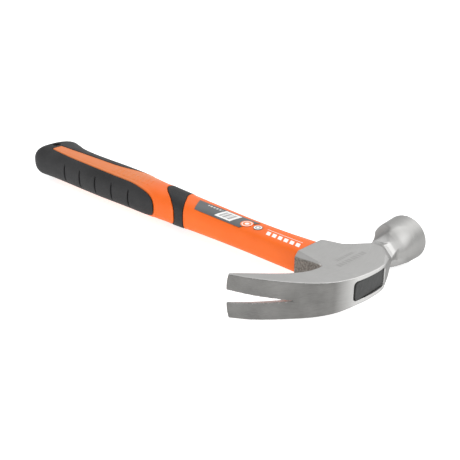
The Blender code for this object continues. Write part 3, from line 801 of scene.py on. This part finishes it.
def label_paint():
    """Dark printed strip with a field of bars and a plain round badge."""
    p = Paint("label_film", (0.08, 0.09, 0.095), 0.42)
    x, y, z = p.axes()
    slant = p.calc("SUBTRACT", x, p.calc("MULTIPLY", p.calc("ADD", y, 0.7), LABEL_SLANT))
    field = p.patch(slant, y, *LABEL_FIELD)
    bars = p.calc("MAXIMUM", p.stripes(slant, 1.45, 0.2), p.stripes(slant, 3.7, 0.14))
    bars = p.calc("MULTIPLY", p.patch(slant, y, *LABEL_BARS), p.calc("MULTIPLY", bars, 0.72))
    dashes = p.calc("MULTIPLY", p.stripes(x, 2.6, 0.28), p.patch(x, y, *LABEL_DASHES))
    cloud = p.noise(p.place, 80.0, 3.0)
    colour = p.mix(p.remap(cloud, 0.3, 0.7, 0.0, 1.0), (0.072, 0.08, 0.084), (0.1, 0.108, 0.112))
    colour = p.mix(p.calc("MULTIPLY", dashes, 0.75), colour, (0.75, 0.75, 0.74))
    colour = p.mix(field, colour, (0.82, 0.82, 0.81))
    colour = p.mix(bars, colour, (0.12, 0.12, 0.125))
    colour = p.mix(p.ring(x, y, BADGE_CENTRE, 0.0, BADGE_RADIUS + 0.5), colour, (0.93, 0.2, 0.04))
    colour = p.mix(p.ring(x, y, BADGE_CENTRE, 2.9, 3.5), colour, (0.84, 0.82, 0.8))
    colour = p.mix(p.ring(x, y, BADGE_CENTRE, 0.0, 1.5), colour, (0.84, 0.82, 0.8))
    p.set("Base Color", colour)
    p.set("Roughness", p.remap(cloud, 0.3, 0.7, 0.36, 0.48))
    p.bump(p.noise(p.place, 1200.0, 2.0), 0.008)
    return p.material


def round_paint():
    """White round print with a grey ring."""
    p = Paint("round_print", (0.82, 0.82, 0.8), 0.42)
    x, y, z = p.axes()
    cloud = p.noise(p.place, 200.0, 2.0)
    colour = p.mix(p.remap(cloud, 0.3, 0.7, 0.0, 1.0), (0.78, 0.78, 0.77), (0.86, 0.86, 0.85))
    colour = p.mix(p.ring(x, y, ROUND_LABEL_CENTRE, 1.0, 1.75), colour, (0.16, 0.19, 0.21))
    colour = p.mix(p.ring(x, y, ROUND_LABEL_CENTRE, 2.6, 3.4), colour, (0.2, 0.2, 0.2))
    p.set("Base Color", colour)
    p.set("Roughness", p.remap(cloud, 0.3, 0.7, 0.38, 0.46))
    return p.material


def fibre_paint(name, dark, light):
    """Glass fibre in resin, drawn lengthwise."""
    p = Paint(name, light, 0.42)
    x, y, z = p.axes()
    strands = p.noise(p.stretch((x, y, z), (0.06, 3.0, 3.0)), 1.0, 4.0, 0.6)
    p.set("Base Color", p.mix(p.remap(strands, 0.3, 0.7, 0.0, 1.0), dark, light))
    p.set("Roughness", p.remap(strands, 0.3, 0.7, 0.36, 0.55))
    p.bump(strands, 0.04)
    return p.material


# ---------------------------------------------------------------- the hammer

def stamp_depth(place):
    """A plain forged-in mark on the cheek: two rows of short bars."""
    x, y, z = place.T
    depth = np.zeros(len(x))
    for middle, half_high, half_long, pitch in STAMP_ROWS:
        bar = np.abs((y - STAMP_MIDDLE_Y) / pitch % 1.0 - 0.5) < STAMP_BAR_SHARE
        row = (np.abs(x - middle) < half_high) & (np.abs(y - STAMP_MIDDLE_Y) < half_long)
        depth = np.maximum(depth, (bar & row & (z > 6.0)) * 1.0)
    return depth


def rise(value, low, high):
    """Zero up to the low value, rising to one at the high one; it falls if low is the larger."""
    return np.clip((value - low) / (high - low), 0, 1)


def raw_steel(place):
    """One on the forged scale left inside the claws and the skirt, away from the edges."""
    x, y, z = place.T
    edge = np.interp(y, *np.array(THICKNESS).T) - np.abs(z)
    return np.clip(1.4 - 2.0 * line_distance(HEAD_INNER, x, y), 0, 1) * np.clip(edge - 0.4, 0, 1)


def painted_steel_shade(place, normal):
    """How much painted shade darkens the steel, from zero to one, set by where each point is and which way
    it faces.
    """
    x, y, z = place.T
    across = x - POLL_AXIS_X
    flat = np.abs(normal[:, 2])
    on_skirt = x < SKIRT_TOP_X
    off_scale = line_distance(HEAD_INNER, x, y) > 1.0
    # Painted shade on the claws' outsides, which face away from the light; the poll, cheeks, skirt chamfer
    # and crown rim get painted shade below.
    claws = rise(y, -13.0, -28.0) * rise(flat, 0.85, 0.55) * off_scale
    upper_side = rise((0.86 * z - 0.5 * across) / POLL_RADIUS, 0, 1) * rise(y, 44.0, 49.0)
    scallop = above_table((across + np.abs(z)) / ROOT_2, CROWN_FLATS, y)
    scallop = rise(scallop, -0.9, -0.1) * rise(across - z, -6.3, 0.7)
    poll = (0.62 - 0.35 * upper_side - 0.4 * scallop) * rise(y, 37.5, 41.5)
    level = np.where(on_skirt, 0.5, 0.85)
    cheek = 0.12 * rise(flat, level, level + 0.1) * rise(y, 36.0, 32.0)
    chamfer = 0.2 * (flat < 0.9) * (flat > 0.5) * on_skirt * (np.abs(y) < 14.0)
    crown = 0.7 * rise(normal[:, 0], 0.72, 0.87) * rise(y, 7.0, 13.0) * (y < 42.0)
    return np.maximum.reduce((claws, poll, cheek + chamfer, crown))


def build_head():
    """The head, with the places of its scale, its painted shade and its forged-in mark kept at its
    vertices.
    """
    head = net_piece("head_steel_body", head_field, (-51.5, -67.5, -15.0), (2.5, 67.5, 15.0),
                     (0.5, 0.5, 0.5), steel_paint(), "hammer_head")
    place = np.array([v.co for v in head.data.vertices]) / MM - SHIFT
    normal = np.array([v.vector for v in head.data.vertex_normals])
    layers = {"raw": raw_steel(place), "painted_shade": painted_steel_shade(place, normal), "stamp": stamp_depth(place)}
    for name, values in layers.items():
        layer = head.data.attributes.new(name, "FLOAT", "POINT")
        layer.data.foreach_set("value", values.astype(np.float32))


def build_hammer():
    build_head()
    net_piece("eye_plug_pad", plug_field, (-3.8, -16.4, -6.2), (0.4, 13.9, 6.2),
              (0.4, 0.45, 0.45), plug_paint(), "eye_plug")
    net_piece("handle_jacket_shell", jacket_field, (-313.0, -14.8, -12.6), (-45.0, 25.0, 12.6),
              (0.8, 0.55, 0.55), orange_paint(), "handle_jacket")
    net_piece("rear_grip_rubber", grip_field, (-315.5, -14.8, -12.6), (-160.0, 29.0, 12.6),
              (0.5, 0.6, 0.6), rubber_paint("grip_rubber"), "rear_grip")
    net_piece("thumb_band_rubber", band_field, (-176.0, -14.5, -11.8), (-136.0, 18.0, 11.8),
              (0.5, 0.5, 0.5), rubber_paint("band_rubber"), "thumb_band")
    badge = arc(BADGE_CENTRE, BADGE_RADIUS, 48)
    film_piece("shaft_label_film", strip_with_badge(badge), label_paint(), "shaft_label")
    film_piece("round_label_film", arc(ROUND_LABEL_CENTRE, ROUND_LABEL_RADIUS, 36), round_paint(),
               "round_label", pitch=0.5)
    paints = {"fibreglass_core": fibre_paint("core_fibreglass", (0.5, 0.43, 0.22), (0.72, 0.66, 0.42)),
              "eye_bond": fibre_paint("bond_resin", (0.38, 0.29, 0.12), (0.52, 0.41, 0.2))}
    for name, material in paints.items():
        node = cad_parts[name]
        node.data.materials.clear()
        node.data.materials.append(material)


def strip_with_badge(badge):
    """Outline of the strip with the round badge standing out of its slanted end."""
    corners = [Vector(c) for c in LABEL_CORNERS]
    start = corners[2]
    end = corners[3]
    away = [(Vector(p) - start).cross(end - start) for p in badge]
    beyond = [p for p, a in zip(badge, away) if a > 0]
    beyond.sort(key=lambda p: (Vector(p) - start).dot(end - start))
    return [tuple(c) for c in corners[:3]] + beyond + [tuple(corners[3])]


# ---------------------------------------------------------------- the studio

def area_light(name, place, target, size, power):
    """White rectangular light that shines at a target."""
    data = bpy.data.lights.new(name, "AREA")
    data.shape = "RECTANGLE"
    data.size, data.size_y = size
    data.energy = power
    light = bpy.data.objects.new(name, data)
    bpy.context.scene.collection.objects.link(light)
    light.location = place
    light.rotation_mode = "QUATERNION"
    light.rotation_quaternion = (Vector(target) - Vector(place)).to_track_quat("-Z", "Y")


def add_floor(half=30.0):
    """Plain pale paper just under the hammer."""
    mesh = bpy.data.meshes.new("floor")
    corners = [(-half, -half, 0), (half, -half, 0), (half, half, 0), (-half, half, 0)]
    mesh.from_pydata(corners, [], [(0, 1, 2, 3)])
    floor = bpy.data.objects.new("floor", mesh)
    bpy.context.scene.collection.objects.link(floor)
    floor.location.z = cad_low.z - 0.0005
    p = Paint("floor_paper", (0.6, 0.6, 0.6), 0.9)
    cloud = p.remap(p.noise(p.place, 3.0, 2.0), 0.3, 0.7, 0.0, 1.0)
    p.set("Base Color", p.mix(cloud, (0.6, 0.6, 0.6), (0.62, 0.62, 0.62)))
    p.set("Emission Color", (1.0, 1.0, 1.0, 1.0))
    p.set("Emission Strength", 0.75)
    mesh.materials.append(p.material)


def add_light():
    """White surroundings, brighter on one side, and two large soft lights."""
    world = bpy.data.worlds.new("studio")
    bpy.context.scene.world = world
    world.use_nodes = True
    nodes = world.node_tree.nodes
    links = world.node_tree.links
    place = nodes.new("ShaderNodeTexCoord")
    facing = nodes.new("ShaderNodeVectorMath")
    facing.operation = "DOT_PRODUCT"
    bright_side = (0.5, 0.75, 0.45)
    facing.inputs[1].default_value = bright_side
    ramp = nodes.new("ShaderNodeMapRange")
    for name, value in (("From Min", -0.1), ("From Max", 0.95), ("To Min", 0.78), ("To Max", 1.2)):
        ramp.inputs[name].default_value = value
    links.new(place.outputs["Generated"], facing.inputs[0])
    links.new(facing.outputs["Value"], ramp.inputs["Value"])
    links.new(ramp.outputs[0], nodes["Background"].inputs["Strength"])
    nodes["Background"].inputs["Color"].default_value = (1.0, 1.0, 1.0, 1.0)
    bpy.context.scene.view_settings.view_transform = "Standard"
    area_light("key", (0.45, 0.55, 1.0), (0.05, 0.0, 0.0), (1.4, 1.4), 5.0)
    area_light("fill", (-0.35, -1.1, 0.6), (0.0, 0.0, 0.0), (1.2, 1.2), 4.5)


def add_camera():
    camera = bpy.data.objects.new("camera", bpy.data.cameras.new("camera"))
    bpy.context.scene.collection.objects.link(camera)
    place = (np.array(CAMERA_PLACE) + SHIFT) * MM
    pitch = math.radians(CAMERA_PITCH)
    yaw = math.radians(CAMERA_YAW)
    forward = Vector((math.cos(yaw) * math.cos(pitch), math.sin(yaw) * math.cos(pitch), -math.sin(pitch)))
    facing = forward.to_track_quat("-Z", "Y").to_matrix().to_4x4()
    roll = Matrix.Rotation(math.radians(CAMERA_ROLL), 4, "Z")
    camera.matrix_world = Matrix.Translation(Vector(place)) @ facing @ roll
    camera.data.sensor_width = 36.0
    camera.data.lens = CAMERA_LENS
    camera.data.clip_start = 0.01
    bpy.context.scene.camera = camera


build_hammer()
add_floor()
add_light()
add_camera()
